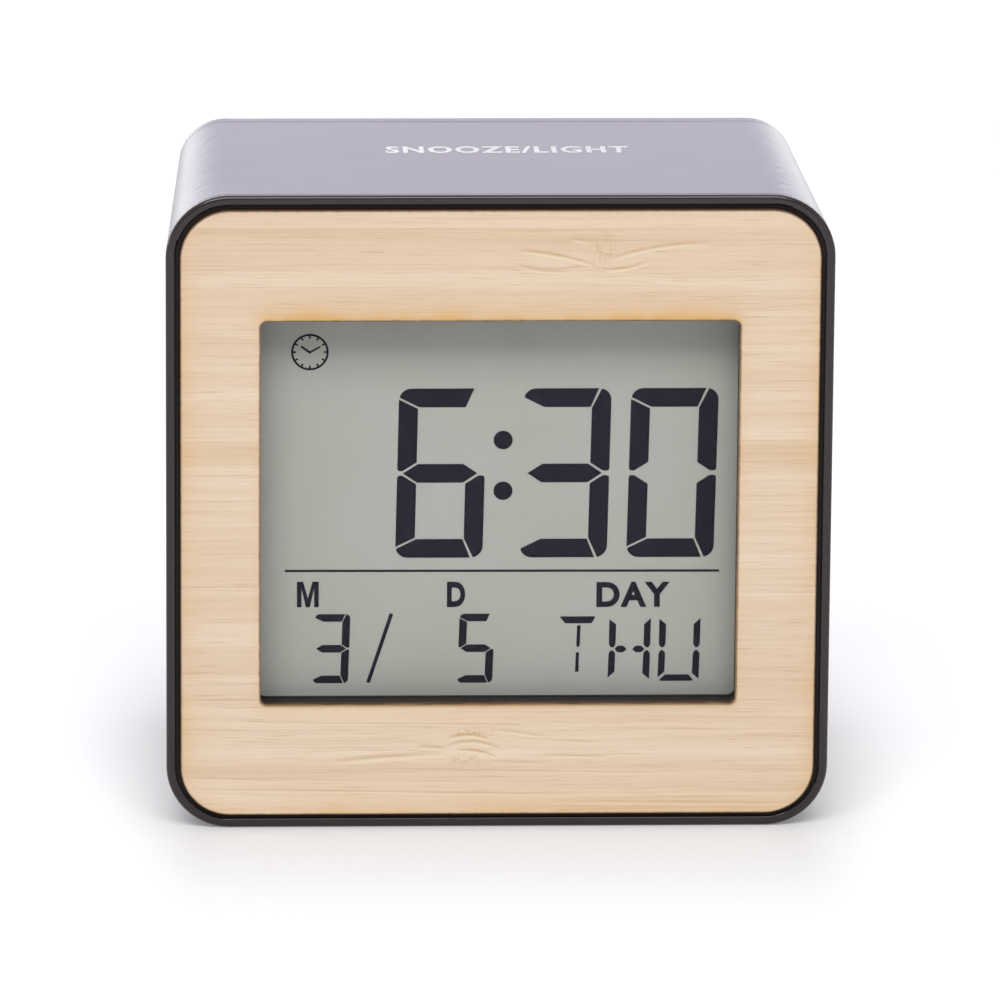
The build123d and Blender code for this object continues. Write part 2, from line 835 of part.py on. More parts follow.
def sounder_case():
    s_from = s_plate - sounder_depth
    case = rod_s(sounder_x, sounder_height, s_from, s_plate, sounder_radius)
    case -= rod_s(sounder_x, sounder_height, s_from - overrun, s_plate + overrun,
                  sounder_radius - sounder_wall)
    s_disc = s_plate - sounder_disc_setback
    seat = rod_s(sounder_x, sounder_height, s_from, s_disc - sounder_disc_thickness, sounder_radius)
    return case + seat


def sounder_disc():
    s_disc = s_plate - sounder_disc_setback
    return rod_s(sounder_x, sounder_height, s_disc - sounder_disc_thickness, s_disc,
                 sounder_radius - sounder_wall)


def grille_places():
    """A hole in the middle and a ring of holes round it."""
    places = [(sounder_x, sounder_height)]
    for i in range(grille_count):
        angle = 2 * pi * i / grille_count
        places.append((sounder_x + grille_circle * cos(angle), sounder_height + grille_circle * sin(angle)))
    return places


def case_screws():
    s_head = case_depth - case_screw_well + screw_head_height
    return [back_screw(x, z, s_head, case_screw_length - case_screw_well) for x, z in post_places]


def flat_cable():
    """A flat strip from the back of the main board to the front of the key board."""
    s_from, s_to = s_main_board_back, s_key_board
    s_mid = (s_from + s_to) / 2
    route = FilletPolyline(
        (cable_x, y_at(s_from), cable_main_z),
        (cable_x, y_at(s_mid), cable_main_z),
        (cable_x, y_at(s_mid), cable_key_z),
        (cable_x, y_at(s_to), cable_key_z),
        radius=cable_bend,
    )
    end = Plane(origin=route @ 0, x_dir=(1, 0, 0), z_dir=(0, 1, 0))
    return sweep(end * Rectangle(cable_width, cable_thickness), route)


def write(name, shape):
    """Writes one node, whose solids stay separate where it is a list."""
    solids = shape if isinstance(shape, list) else [shape]
    found = [solid for item in solids for solid in item.solids()]
    export_step(found[0] if len(found) == 1 else Compound(children=found), f"parts/{name}.step")


def main():
    os.makedirs("parts", exist_ok=True)
    write("bamboo_panel", bamboo_panel())
    write("panel_tape", panel_tape())
    write("front_bezel", front_bezel())
    write("lower_housing", lower_housing())
    write("snooze_light_cover", snooze_light_cover())
    write("snooze_return_pads", snooze_return_pads())
    write("snooze_switch_body", snooze_switch_body())
    write("snooze_switch_plunger", snooze_switch_plunger())
    write("snooze_board", snooze_board())
    write("snooze_board_screws", snooze_board_screws())
    write("display_lens", display_block(s_web_back, s_lens_back))
    write("display_gasket", display_gasket())
    write("display_front_polariser", display_block(s_polariser, s_glass))
    write("display_front_glass", display_block(s_glass, s_glass + glass_thickness, contact_ledge))
    write("display_rear_glass", display_block(s_glass + glass_thickness, s_reflector))
    write("display_reflector", display_block(s_reflector, s_guide))
    write("light_guide", light_guide())
    write("backlight_leds", backlight_leds())
    write("display_holder", display_holder())
    write("zebra_strip", zebra_strip())
    write("main_board", main_board())
    write("main_board_screws", main_board_screws())
    write("controller_blob", controller_blob())
    write("quartz_crystal", quartz_crystal())
    write("chip_parts", chip_parts())
    write("rear_cover", rear_cover())
    write("battery_door", battery_door())
    write("battery_cells", battery_cells())
    write("battery_contacts", contact_plates())
    write("battery_springs", spring_turns())
    for name, x in zip(key_names, key_xs()):
        write(f"{name}_key", rear_key(x))
        write(f"{name}_key_plunger", key_plunger(x))
    write("key_switches", key_switches())
    write("key_board", key_board())
    write("key_board_screws", key_board_screws())
    write("alarm_switch_body", alarm_switch_body())
    write("alarm_switch_knob", alarm_switch_knob())
    write("sounder_case", sounder_case())
    write("sounder_disc", sounder_disc())
    write("case_screws", case_screws())
    write("flat_cable", flat_cable())


main()
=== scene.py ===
"""The looks of a small desk clock with a bamboo front.

Every node of the construction gets a procedural material. The marks on the display, the top and the rear are
thin closed sheets that ride with their bodies. A camera, three lamps, a bright surround and a floor show it.
Lengths are in millimetres in the row frame, unless a comment says metres, and MM turns them into metres.
"""

import math

import bmesh
import bpy
from mathutils import Matrix, Vector
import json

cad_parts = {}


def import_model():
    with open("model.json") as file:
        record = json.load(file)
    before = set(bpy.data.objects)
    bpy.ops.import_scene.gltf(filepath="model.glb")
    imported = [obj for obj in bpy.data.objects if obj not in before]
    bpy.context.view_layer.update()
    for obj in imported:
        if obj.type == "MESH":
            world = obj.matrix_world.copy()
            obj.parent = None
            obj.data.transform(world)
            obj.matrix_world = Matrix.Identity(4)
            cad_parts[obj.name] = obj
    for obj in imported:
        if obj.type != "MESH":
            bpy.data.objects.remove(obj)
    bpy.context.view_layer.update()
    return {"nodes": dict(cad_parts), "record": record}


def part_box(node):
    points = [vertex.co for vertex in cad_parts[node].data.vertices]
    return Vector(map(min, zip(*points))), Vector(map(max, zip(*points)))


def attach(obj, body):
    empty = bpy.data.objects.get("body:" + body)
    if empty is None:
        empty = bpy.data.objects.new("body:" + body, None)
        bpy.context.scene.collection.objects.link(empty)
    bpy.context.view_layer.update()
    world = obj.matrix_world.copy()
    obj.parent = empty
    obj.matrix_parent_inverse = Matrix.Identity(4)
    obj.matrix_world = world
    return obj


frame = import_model()
MM = 0.001

# Places on the clock
panel_low, panel_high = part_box("bamboo_panel")
PANEL_Y = panel_low[1] / MM
PANEL_HALF = (panel_high[0] / MM, (panel_high[2] - panel_low[2]) / 2 / MM)
MID_Z = (panel_high[2] + panel_low[2]) / 2 / MM
PANEL_RADIUS = 6.0
WINDOW_HALF = (28.65, 23.9)
WINDOW_RADIUS = 0.8
FILM_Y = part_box("display_front_polariser")[0][1] / MM
REAR_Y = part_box("rear_cover")[1][1] / MM
RIM_Y = PANEL_Y + 0.4
TOP_Z = 78.5
TAPER = math.tan(math.radians(2.25))
MARK_THICKNESS = 0.02


# Node building

class Nodes:
    """A node tree with helpers that add and join its nodes."""

    def __init__(self, tree):
        self.tree = tree
        self.tree.nodes.clear()

    def add(self, kind, **values):
        node = self.tree.nodes.new(kind)
        for key, value in values.items():
            setattr(node, key, value)
        return node

    def put(self, socket, value):
        """Links a socket into another, or sets a constant. A colour of three numbers gets its alpha."""
        if isinstance(value, bpy.types.NodeSocket):
            self.tree.links.new(value, socket)
        else:
            socket.default_value = (*value, 1.0) if socket.type == "RGBA" and len(value) == 3 else value

    def calc(self, operation, *values):
        node = self.add("ShaderNodeMath", operation=operation)
        for socket, value in zip(node.inputs, values):
            self.put(socket, value)
        return node.outputs[0]

    def plus(self, a, b):
        return self.calc("ADD", a, b)

    def minus(self, a, b):
        return self.calc("SUBTRACT", a, b)

    def times(self, a, b):
        return self.calc("MULTIPLY", a, b)

    def over(self, a, b):
        return self.calc("DIVIDE", a, b)

    def more_of(self, a, b):
        return self.calc("MAXIMUM", a, b)

    def less_of(self, a, b):
        return self.calc("MINIMUM", a, b)

    def size_of(self, value):
        return self.calc("ABSOLUTE", value)

    def fade(self, value, rate):
        """exp(rate * value)"""
        return self.calc("EXPONENT", self.times(value, rate))

    def span(self, value, low, high, to_low=0.0, to_high=1.0):
        """The value's way from low to high, as to_low to to_high, and held at both ends."""
        node = self.add("ShaderNodeMapRange", clamp=True)
        for socket, number in zip(node.inputs, (value, low, high, to_low, to_high)):
            self.put(socket, number)
        return node.outputs[0]

    def parts(self, vector):
        """The x, y and z of a vector."""
        node = self.add("ShaderNodeSeparateXYZ")
        self.put(node.inputs[0], vector)
        return tuple(node.outputs)

    def joined(self, x, y, z):
        node = self.add("ShaderNodeCombineXYZ")
        for socket, value in zip(node.inputs, (x, y, z)):
            self.put(socket, value)
        return node.outputs[0]


class Shader(Nodes):
    """A material, with helpers for patterns and for its surface."""

    def __init__(self, name):
        self.material = bpy.data.materials.new(name)
        self.material.use_nodes = True
        super().__init__(self.material.node_tree)
        self.out = self.add("ShaderNodeOutputMaterial")

    def mix(self, factor, a, b, blend="MIX"):
        node = self.add("ShaderNodeMix", data_type="RGBA", blend_type=blend)
        for i, value in ((0, factor), (6, a), (7, b)):
            self.put(node.inputs[i], value)
        return node.outputs[2]

    def scaled(self, vector, scale):
        """A vector times a scale, which is one number or one for each way."""
        node = self.add("ShaderNodeMapping")
        self.put(node.inputs["Vector"], vector)
        node.inputs["Scale"].default_value = scale if isinstance(scale, tuple) else (scale,) * 3
        return node.outputs[0]

    def millimetres(self):
        """The object coordinates in millimetres, which are the row frame's."""
        coords = self.add("ShaderNodeTexCoord").outputs["Object"]
        return self.scaled(coords, 1 / MM)

    def noise(self, vector, scale, detail=2.0, rough=0.5):
        """Soft noise with about as many lumps to the millimetre as the scale says."""
        node = self.add("ShaderNodeTexNoise")
        for key, value in (("Vector", self.scaled(vector, scale)), ("Scale", 1.0), ("Detail", detail),
                           ("Roughness", rough)):
            self.put(node.inputs[key], value)
        return node.outputs[0]

    def bands(self, value, stops):
        """Flat bands of colour: each stop is where a band starts, from 0 to 1, and its colour."""
        node = self.add("ShaderNodeValToRGB")
        self.put(node.inputs[0], value)
        node.color_ramp.interpolation = "CONSTANT"
        elements = node.color_ramp.elements
        while len(elements) < len(stops):
            elements.new(0.5)
        for element, (start, colour) in zip(elements, stops):
            element.position = start
            element.color = (*colour, 1.0)
        return node.outputs[0]

    def bump(self, height, distance):
        """The normal for a height from 0 to 1 that stands for a distance in millimetres."""
        node = self.add("ShaderNodeBump")
        node.inputs["Distance"].default_value = distance * MM
        self.put(node.inputs["Height"], height)
        return node.outputs[0]

    def outside(self, x, z, half, radius):
        """How far a point lies outside a box with round corners; negative inside."""
        side = self.minus(self.size_of(x), half[0] - radius)
        tall = self.minus(self.size_of(z), half[1] - radius)
        out_x, out_z = self.more_of(side, 0.0), self.more_of(tall, 0.0)
        squares = self.plus(self.times(out_x, out_x), self.times(out_z, out_z))
        within = self.less_of(self.more_of(side, tall), 0.0)
        return self.minus(self.plus(self.calc("SQRT", squares), within), radius)

    def bell(self, x, z, centre, reach):
        """1 at the centre, and down to 1/e at the reach to each side."""
        dx = self.over(self.minus(x, centre[0]), reach[0])
        dz = self.over(self.minus(z, centre[1]), reach[1])
        return self.fade(self.plus(self.times(dx, dx), self.times(dz, dz)), -1.0)

    def facing(self):
        """The x, y and z of the flat normal."""
        return self.parts(self.add("ShaderNodeNewGeometry").outputs["True Normal"])

    def surface(self, **inputs):
        """Ends the material. Each name is a socket of the principled shader, with _ for a space."""
        node = self.add("ShaderNodeBsdfPrincipled")
        for key, value in inputs.items():
            self.put(node.inputs[key.replace("_", " ")], value)
        self.put(self.out.inputs[0], node.outputs[0])
        return self.material


def tinted(colour, factor):
    return tuple(min(1, value * factor) for value in colour)


# Materials

# Where most of a noise's values lie, and the slow drift over the moulded plastic
MIDDLE = (0.3, 0.7)
SLOW_SCALE = 0.06
SLOW_BUMP = 0.0015


def moulded(name, colour, rough, grain=0.0, grain_size=0.35, wear=0.03, shine=0.5):
    """Moulded plastic: a slow drift of gloss, and a fine texture where grain isn't 0."""
    s = Shader(name)
    place = s.millimetres()
    slow = s.noise(place, SLOW_SCALE, detail=3.0)
    smudge = s.noise(place, 0.35, detail=4.0, rough=0.6)
    tone = s.mix(s.span(slow, *MIDDLE), tinted(colour, 0.88), tinted(colour, 1.12))
    worn = s.plus(s.times(slow, 0.6), s.times(smudge, 0.4))
    gloss = s.span(worn, *MIDDLE, rough - wear, rough + wear)
    normal = s.bump(s.noise(place, 1 / grain_size), grain) if grain else s.bump(slow, SLOW_BUMP)
    return s.surface(Base_Color=tone, Roughness=gloss, Specular_IOR_Level=shine, Normal=normal)


def metal(name, colour, rough, along=(1, 1, 1)):
    """Metal with fine lines, drawn out where a number of along is small."""
    s = Shader(name)
    place = s.millimetres()
    lines = s.noise(place, tuple(4.0 * a for a in along), detail=4.0)
    spots = s.noise(place, 0.8, detail=3.0)
    tone = s.mix(s.span(spots, 0.35, 0.7), colour, tinted(colour, 0.82))
    gloss = s.span(lines, *MIDDLE, rough * 0.8, rough * 1.25)
    return s.surface(Base_Color=tone, Roughness=gloss, Metallic=1.0, Normal=s.bump(lines, 0.004))


# Colours of the bamboo
PALE, TAN, DEEP = (0.890, 0.735, 0.575), (0.815, 0.635, 0.464), (0.580, 0.390, 0.230)
BLOND = (0.90, 0.755, 0.580)
DASH = (0.62, 0.40, 0.185)
SPLIT, SPLIT_PALE = (0.600, 0.375, 0.165), (0.930, 0.800, 0.600)
TOASTED = (0.76, 0.45, 0.160)
CHARRED = (0.060, 0.026, 0.012)
CUT, CUT_DEEP_BURN_AND_SHADE, CUT_OUTER = (0.500, 0.295, 0.130), (0.050, 0.024, 0.012), (0.075, 0.034, 0.015)

# The knuckles: the centre, the reach to each side, and the strength
KNUCKLES = (
    ((11.5, 70.8), (8.5, 2.1), 1.0), ((-3.6, 11.0), (7.0, 2.3), 1.0),
    ((30.0, 70.0), (6.0, 1.3), 0.35), ((-24.0, 9.0), (7.0, 1.2), 0.35),
)

# The strips that the panel is glued up from: where each starts, as a part of STRIPS_HEIGHT, and its tint
STRIPS_HEIGHT = 80.0
STRIPS = (
    (0.0, (1.0, 1.0, 1.0)), (0.19, (0.985, 0.975, 0.97)), (0.32, (0.995, 0.99, 0.985)),
    (0.565, (0.96, 0.92, 0.86)), (0.605, (1.0, 1.0, 1.0)), (0.74, (0.99, 0.98, 0.97)),
    (0.79, (1.0, 1.0, 1.0)), (0.867, (0.955, 0.92, 0.895)), (0.915, (0.94, 0.90, 0.85)),
    (0.9325, (1.0, 1.0, 1.0)),
)

# The split fibres of the two large knuckles and the longest lines of the grain: the ends, the bow between,
# the width and the strength
FIBRES = (
    (2.0, 71.9, 11.3, 70.1, 0.35, 0.21, 0.85), (1.6, 70.3, 8.4, 69.4, -0.35, 0.19, 0.55),
    (13.0, 70.9, 25.0, 72.8, 0.55, 0.21, 0.7), (12.3, 69.6, 17.6, 70.6, -0.3, 0.19, 0.75),
    (8.2, 73.4, 11.0, 72.9, 0.0, 0.18, 0.45), (19.5, 68.1, 25.2, 68.0, 0.0, 0.11, 0.4),
    (-6.1, 11.3, -1.0, 11.2, 0.55, 0.21, 0.9), (-6.3, 10.3, 0.4, 10.0, 0.8, 0.21, 0.75),
    (-4.9, 9.8, -0.2, 9.0, 0.35, 0.19, 0.8), (-9.7, 10.35, -6.2, 10.1, 0.05, 0.21, 0.75),
    (-20.0, 8.5, -6.2, 9.5, 0.12, 0.27, 0.7), (-1.0, 12.4, 5.6, 11.6, 0.12, 0.19, 0.55),
    (6.6, 11.0, 12.9, 10.8, 0.0, 0.16, 0.5), (5.6, 9.2, 13.3, 9.0, 0.0, 0.16, 0.6),
    (-0.8, 8.4, 6.4, 8.2, 0.0, 0.18, 0.45), (-30.0, 13.4, 6.0, 13.0, 0.0, 0.11, 0.55),
    (-37.0, 5.0, 10.0, 4.2, 0.05, 0.14, 0.65), (-14.0, 7.5, 24.0, 6.8, 0.0, 0.1, 0.5),
    (6.0, 3.4, 36.0, 3.0, 0.0, 0.18, 0.5), (-38.0, 16.2, -28.0, 16.1, 0.0, 0.1, 0.45),
    (-38.0, 12.5, -30.0, 12.4, 0.0, 0.13, 0.45), (-38.0, 6.5, -26.0, 6.1, 0.0, 0.13, 0.55),
)
PALE_FIBRE_DROP = 1.7


def bent_round_knuckles(s, place):
    """The place with its height shifted, so that the fibres wave round each knuckle."""
    x, y, z = s.parts(place)
    bend, knots = 0.0, 0.0
    for centre, reach, strength in KNUCKLES:
        near = s.bell(x, z, centre, reach)
        knots = s.plus(s.times(near, strength), knots)
        sway = s.calc("SINE", s.times(s.minus(x, centre[0]), 0.9))
        bend = s.plus(s.times(s.times(sway, near), 0.22 * strength), bend)
    loose = s.noise(place, (0.22, 0.0, 0.5), detail=3.0)
    ripple = s.times(s.minus(loose, 0.5), s.plus(s.times(knots, 1.6), 0.14))
    return s.joined(x, y, s.plus(s.plus(z, bend), ripple))


def split_fibres(s, place):
    """How strongly the split fibres' tan and pale strokes show. Each pale one lies under a tan one."""
    x, _, z = s.parts(place)
    tan_marks, pale_marks = 0.0, 0.0
    for x0, z0, x1, z1, bow, width, strength in FIBRES:
        part = s.span(x, x0, x1)
        arch = s.times(s.times(part, s.minus(1.0, part)), 4.0)
        line = s.plus(s.times(part, z1 - z0), s.times(arch, bow))
        off = s.over(s.minus(s.minus(z, z0), line), width)
        shown = s.times(s.calc("POWER", arch, 0.6), strength)
        tan_marks = s.plus(s.times(s.fade(s.times(off, off), -1.0), shown), tan_marks)
        off = s.plus(off, PALE_FIBRE_DROP)
        pale_marks = s.plus(s.times(s.fade(s.times(off, off), -1.6), shown), pale_marks)
    ticks = s.noise(place, (3.2, 0.5, 0.55), detail=3.0, rough=0.6)
    speckle = s.noise(place, (2.4, 0.5, 2.4), detail=3.0, rough=0.6)
    for centre, reach, grain in (((12.15, 72.1), (1.1, 2.0), ticks), ((-3.6, 11.9), (2.2, 0.5), speckle),
                                 ((-3.9, 8.7), (2.0, 0.6), speckle)):
        spot = s.times(s.bell(x, z, centre, reach), s.span(grain, 0.45, 0.62, 0.0, 0.75))
        tan_marks = s.plus(spot, tan_marks)
    return tan_marks, pale_marks


def bamboo():
    """Pale bamboo: long fibres, joined strips, clear and faint knuckles, edges browned by the cutting, and
    painted shade deep in the window's cut walls.
    """
    s = Shader("bamboo")
    place = s.millimetres()
    x, y, z = s.parts(place)
    along = bent_round_knuckles(s, place)
    fine = s.noise(along, (0.040, 0.3, 4.4), detail=6.0, rough=0.68)
    broad = s.noise(along, (0.012, 0.1, 0.55), detail=3.0, rough=0.55)
    dashes = s.noise(along, (0.15, 1.0, 6.5), rough=0.6)
    colour = s.mix(s.span(broad, 0.34, 0.66), PALE, TAN)
    colour = s.mix(s.span(fine, 0.52, 0.80, 0.0, 0.62), colour, DEEP)
    colour = s.mix(s.span(fine, 0.20, 0.42, 0.30, 0.0), colour, BLOND)
    colour = s.mix(s.span(dashes, 0.58, 0.74, 0.0, 0.50), colour, DASH)
    colour = s.mix(1.0, colour, s.bands(s.span(z, 0.0, STRIPS_HEIGHT), STRIPS), "MULTIPLY")
    tan_marks, pale_marks = split_fibres(s, place)
    ragged = s.span(fine, 0.25, 0.7, 0.45, 1.0)
    colour = s.mix(s.times(s.less_of(tan_marks, 1.0), ragged), colour, SPLIT)
    colour = s.mix(s.less_of(pale_marks, 0.65), colour, SPLIT_PALE)

    # The browned bands beside the cuts, the strongest one above the window
    up = s.minus(z, MID_Z)
    edge = s.times(s.outside(x, up, PANEL_HALF, PANEL_RADIUS), -1.0)
    win = s.outside(x, up, WINDOW_HALF, WINDOW_RADIUS)
    above = s.span(up, WINDOW_HALF[1] - 1.0, WINDOW_HALF[1] + 0.6)
    within = s.span(s.size_of(x), WINDOW_HALF[0] + 2.5, WINDOW_HALF[0] - 1.0)
    glow = s.times(s.fade(win, -0.85), s.times(above, within))
    glow = s.plus(s.times(glow, 1.9), s.times(s.fade(win, -1.6), 0.55))
    rim = s.times(s.fade(edge, -0.75), s.span(up, 24.0, 36.0, 0.95, 0.35))
    smoke = s.noise(place, 0.12, detail=3.0)
    glow = s.times(s.plus(glow, rim), s.span(smoke, 0.32, 0.66, 0.45, 1.15))
    colour = s.mix(s.less_of(s.times(glow, 0.66), 0.9), colour, TOASTED)

    # The charred lines at the cuts, fainter under the window
    ragged = s.noise(place, 1.1, detail=3.0)
    low = s.span(up, -WINDOW_HALF[1] - 0.3, -WINDOW_HALF[1] + 2.0, 0.25, 1.0)
    near_win = s.minus(s.times(ragged, 0.16), win)
    near_edge = s.minus(s.times(ragged, 0.12), edge)
    char = s.more_of(s.times(s.span(near_win, -0.22, 0.04), low), s.span(near_edge, -0.22, 0.0))
    colour = s.mix(s.times(char, 0.92), colour, CHARRED)

    # The window's cut walls are tan at the face and near black deeper in, partly burn and partly painted
    # shade of the recess; the outer ones are burnt all over
    wall = s.span(s.facing()[1], -0.80, -0.45)
    streak = s.span(s.noise(place, (0.4, 2.5, 2.5), detail=3.0), 0.35, 0.65, 0.0, 0.5)
    depth = s.plus(s.minus(y, PANEL_Y + 0.45), streak)
    # Painted shade: the wall colour runs from tan to near black with depth into the window, on top of the
    # burn
    cut = s.mix(s.span(depth, 0.0, 1.0), CUT, CUT_DEEP_BURN_AND_SHADE)
    cut = s.mix(s.span(edge, 1.2, 0.6), cut, CUT_OUTER)
    colour = s.mix(wall, colour, cut)

    height = s.plus(s.times(fine, -0.7), s.times(dashes, -0.4))
    rough = s.span(fine, 0.3, 0.8, 0.46, 0.62)
    return s.surface(Base_Color=colour, Roughness=rough, IOR=1.45, Normal=s.bump(height, 0.02))


def display_film():
    """The grey-green face of a reflective display, with a faint sparkle."""
    s = Shader("display_film")
    place = s.millimetres()
    cloud = s.noise(place, 0.05)
    grit = s.noise(place, 6.0)
    colour = s.mix(s.span(cloud, 0.35, 0.65), (0.475, 0.490, 0.440), (0.505, 0.510, 0.478))
    colour = s.mix(s.span(grit, 0.3, 0.75, 0.0, 0.14), colour, (0.39, 0.42, 0.36))
    return s.surface(Base_Color=colour, Roughness=s.span(grit, *MIDDLE, 0.34, 0.42), IOR=1.45,
                     Normal=s.bump(grit, 0.002))


def clear(name, colour, alpha, rough):
    """Clear glass or plastic with a faint haze."""
    s = Shader(name)
    haze = s.noise(s.millimetres(), 0.3, detail=3.0)
    tone = s.mix(s.span(haze, *MIDDLE), colour, tinted(colour, 0.94))
    return s.surface(Base_Color=tone, Roughness=s.span(haze, *MIDDLE, rough, rough + 0.03), Alpha=alpha)


def circuit_board():
    """Green lacquer over copper lines that show as a faint pattern."""
    s = Shader("board")
    place = s.millimetres()
    x, y, z = s.parts(place)
    bricks = s.add("ShaderNodeTexBrick")
    flat = s.joined(x, s.plus(z, s.times(y, 0.4)), 0.0)
    for key, value in (("Vector", flat), ("Scale", 0.35), ("Mortar Size", 0.045)):
        s.put(bricks.inputs[key], value)
    lines = bricks.outputs["Fac"]
    blotch = s.noise(place, 0.3, detail=4.0)
    base = s.mix(s.span(blotch, *MIDDLE), (0.012, 0.115, 0.045), (0.018, 0.150, 0.062))
    colour = s.mix(s.times(lines, 0.65), base, (0.10, 0.30, 0.13))
    return s.surface(Base_Color=colour, Roughness=s.span(blotch, *MIDDLE, 0.3, 0.42), IOR=1.5,
                     Normal=s.bump(lines, 0.02))


def cell_wrap():
    """A battery's printed sleeve: dark with a copper-coloured positive end, and bare steel at both ends."""
    s = Shader("cell")
    place = s.millimetres()
    x, _, z = s.parts(place)
    # The upper cell lies the other way round from the lower one
    upper = s.span(z, 21.4, 21.6)
    turned = s.times(x, s.minus(1.0, s.times(upper, 2.0)))
    tip = s.span(turned, 9.0, 9.15)
    scuff = s.noise(place, 0.9, detail=4.0)
    colour = s.mix(tip, (0.020, 0.022, 0.026), (0.56, 0.27, 0.075))
    colour = s.mix(s.span(scuff, 0.55, 0.8, 0.0, 0.25), colour, (0.25, 0.25, 0.26))
    bare = s.span(s.size_of(s.facing()[0]), 0.6, 0.8)
    colour = s.mix(bare, colour, (0.72, 0.71, 0.69))
    return s.surface(Base_Color=colour, Roughness=s.span(scuff, *MIDDLE, 0.22, 0.34), Metallic=bare, IOR=1.5)


def ribbon():
    """A flat cable: pale, with a fine line for each conductor."""
    conductor_pitch = 1.2
    s = Shader("ribbon")
    line = s.calc("SINE", s.times(s.parts(s.millimetres())[0], 2 * math.pi / conductor_pitch))
    colour = s.mix(s.span(line, 0.2, 0.9), (0.62, 0.63, 0.65), (0.86, 0.86, 0.87))
    return s.surface(Base_Color=colour, Roughness=0.4, Normal=s.bump(line, 0.06))


def bezel_black():
    """The case's gloss black, darker, browner and rougher as painted shade in the panel's groove and round
    the window.
    """
    s = Shader("bezel_black")
    place = s.millimetres()
    x, y, z = s.parts(place)
    inside = s.outside(x, s.minus(z, MID_Z), PANEL_HALF, PANEL_RADIUS)
    # Painted shade: the bezel behind the panel's outline, in the groove and round the window, is darkened and
    # dulled
    groove_painted_shade = s.times(s.span(inside, 0.85, 0.55), s.span(y, PANEL_Y + 0.45, PANEL_Y + 0.7))
    slow = s.noise(place, SLOW_SCALE, detail=3.0)
    colour = s.mix(s.span(slow, *MIDDLE), (0.0150, 0.0078, 0.0086), (0.0185, 0.0096, 0.0106))
    colour = s.mix(groove_painted_shade, colour, (0.0110, 0.0066, 0.0045))
    rough = s.plus(s.span(slow, *MIDDLE, 0.145, 0.195), s.times(groove_painted_shade, 0.7))
    return s.surface(Base_Color=colour, Roughness=rough, Normal=s.bump(slow, SLOW_BUMP))


MATERIALS = {
    "bamboo": bamboo(),
    "black_gloss": moulded("case_black", (0.0160, 0.0088, 0.0100), 0.24, wear=0.012),
    "black_matte": moulded("key_black", (0.018, 0.018, 0.020), 0.42, grain=0.012),
    "clear_lens": clear("clear_lens", (0.30, 0.31, 0.31), 0.025, 0.03),
    "display_glass": clear("display_glass", (0.55, 0.60, 0.56), 0.5, 0.05),
    "display_film": display_film(),
    "reflector_film": moulded("reflector", (0.52, 0.53, 0.50), 0.35, grain=0.004),
    "light_guide": moulded("light_guide", (0.78, 0.80, 0.78), 0.16, grain=0.01),
    "led": moulded("lamp", (0.80, 0.78, 0.62), 0.25),
    "foam": moulded("foam", (0.012, 0.012, 0.012), 0.85, grain=0.12, grain_size=0.5),
    "tape": moulded("tape", (0.68, 0.68, 0.65), 0.6, grain=0.01),
    "board": circuit_board(),
    "resin": moulded("resin", (0.008, 0.008, 0.008), 0.22, grain=0.01, grain_size=1.5),
    "can": metal("crystal_can", (0.68, 0.68, 0.70), 0.22, (0.3, 2, 2)),
    "steel": metal("screw_steel", (0.56, 0.56, 0.58), 0.28),
    "nickel": metal("nickel", (0.66, 0.65, 0.62), 0.24),
    "cell": cell_wrap(),
    "brass": metal("brass", (0.72, 0.53, 0.25), 0.32),
    "cable": ribbon(),
}
BEZEL = bezel_black()
SEGMENT_INK = moulded("segment_ink", (0.012, 0.010, 0.022), 0.6, wear=0.02, shine=0.04)
TOP_INK = moulded("legend_white", (0.93, 0.93, 0.93), 0.5, wear=0.02)
REAR_INK = moulded("legend_grey", (0.60, 0.60, 0.60), 0.5, wear=0.02)

for part in frame["record"]["subparts"]:
    node = frame["nodes"][part["node"]]
    look = BEZEL if part["node"] == "front_bezel" else MATERIALS[part["material_slot"]]
    if not node.material_slots:
        node.data.materials.append(look)
    for holder in node.material_slots:
        holder.material = look


# Where the marks lie. Each function takes u, v and the height t over the surface that is marked.

def on_film(u, v, t):
    """A point on the display; u runs to the right and v up."""
    return Vector((u, FILM_Y - t, v)) * MM


def on_top(u, v, t):
    """A point on the sloping top of the cover; v runs back from the front."""
    return Vector((u, v, TOP_Z - TAPER * (v - RIM_Y) + t)) * MM


def on_rear(u, v, t):
    """A point on the rear cover; u runs to the right as the rear is seen."""
    return Vector((-u, REAR_Y + t, v)) * MM


# A kind of mark: where it lies, its material, the body that it rides with and the slot of its finish
ON_DISPLAY = (on_film, SEGMENT_INK, "clock", "display_film")
ON_COVER = (on_top, TOP_INK, "snooze_cover", "black_gloss")
ON_BACK = (on_rear, REAR_INK, "clock", "black_gloss")

# A letter's curve steps, how deep it is written before its two faces are put in place, and the distance in
# metres at which its points are joined
LETTER_STEPS = 6
LETTER_DEPTH = 0.5
MERGE_METRES = 1e-7


def add_mark(name, mesh, material, body):
    """Puts a mark's mesh in the scene as a piece of the clock."""
    mesh.materials.append(material)
    piece = bpy.data.objects.new(name, mesh)
    bpy.context.scene.collection.objects.link(piece)
    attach(piece, body)


def add_prism_sides(bm, a, b):
    """Joins two closed rows of as many points with a band of faces."""
    for i in range(len(a)):
        j = (i + 1) % len(a)
        bm.faces.new((a[i], b[i], b[j], a[j]))


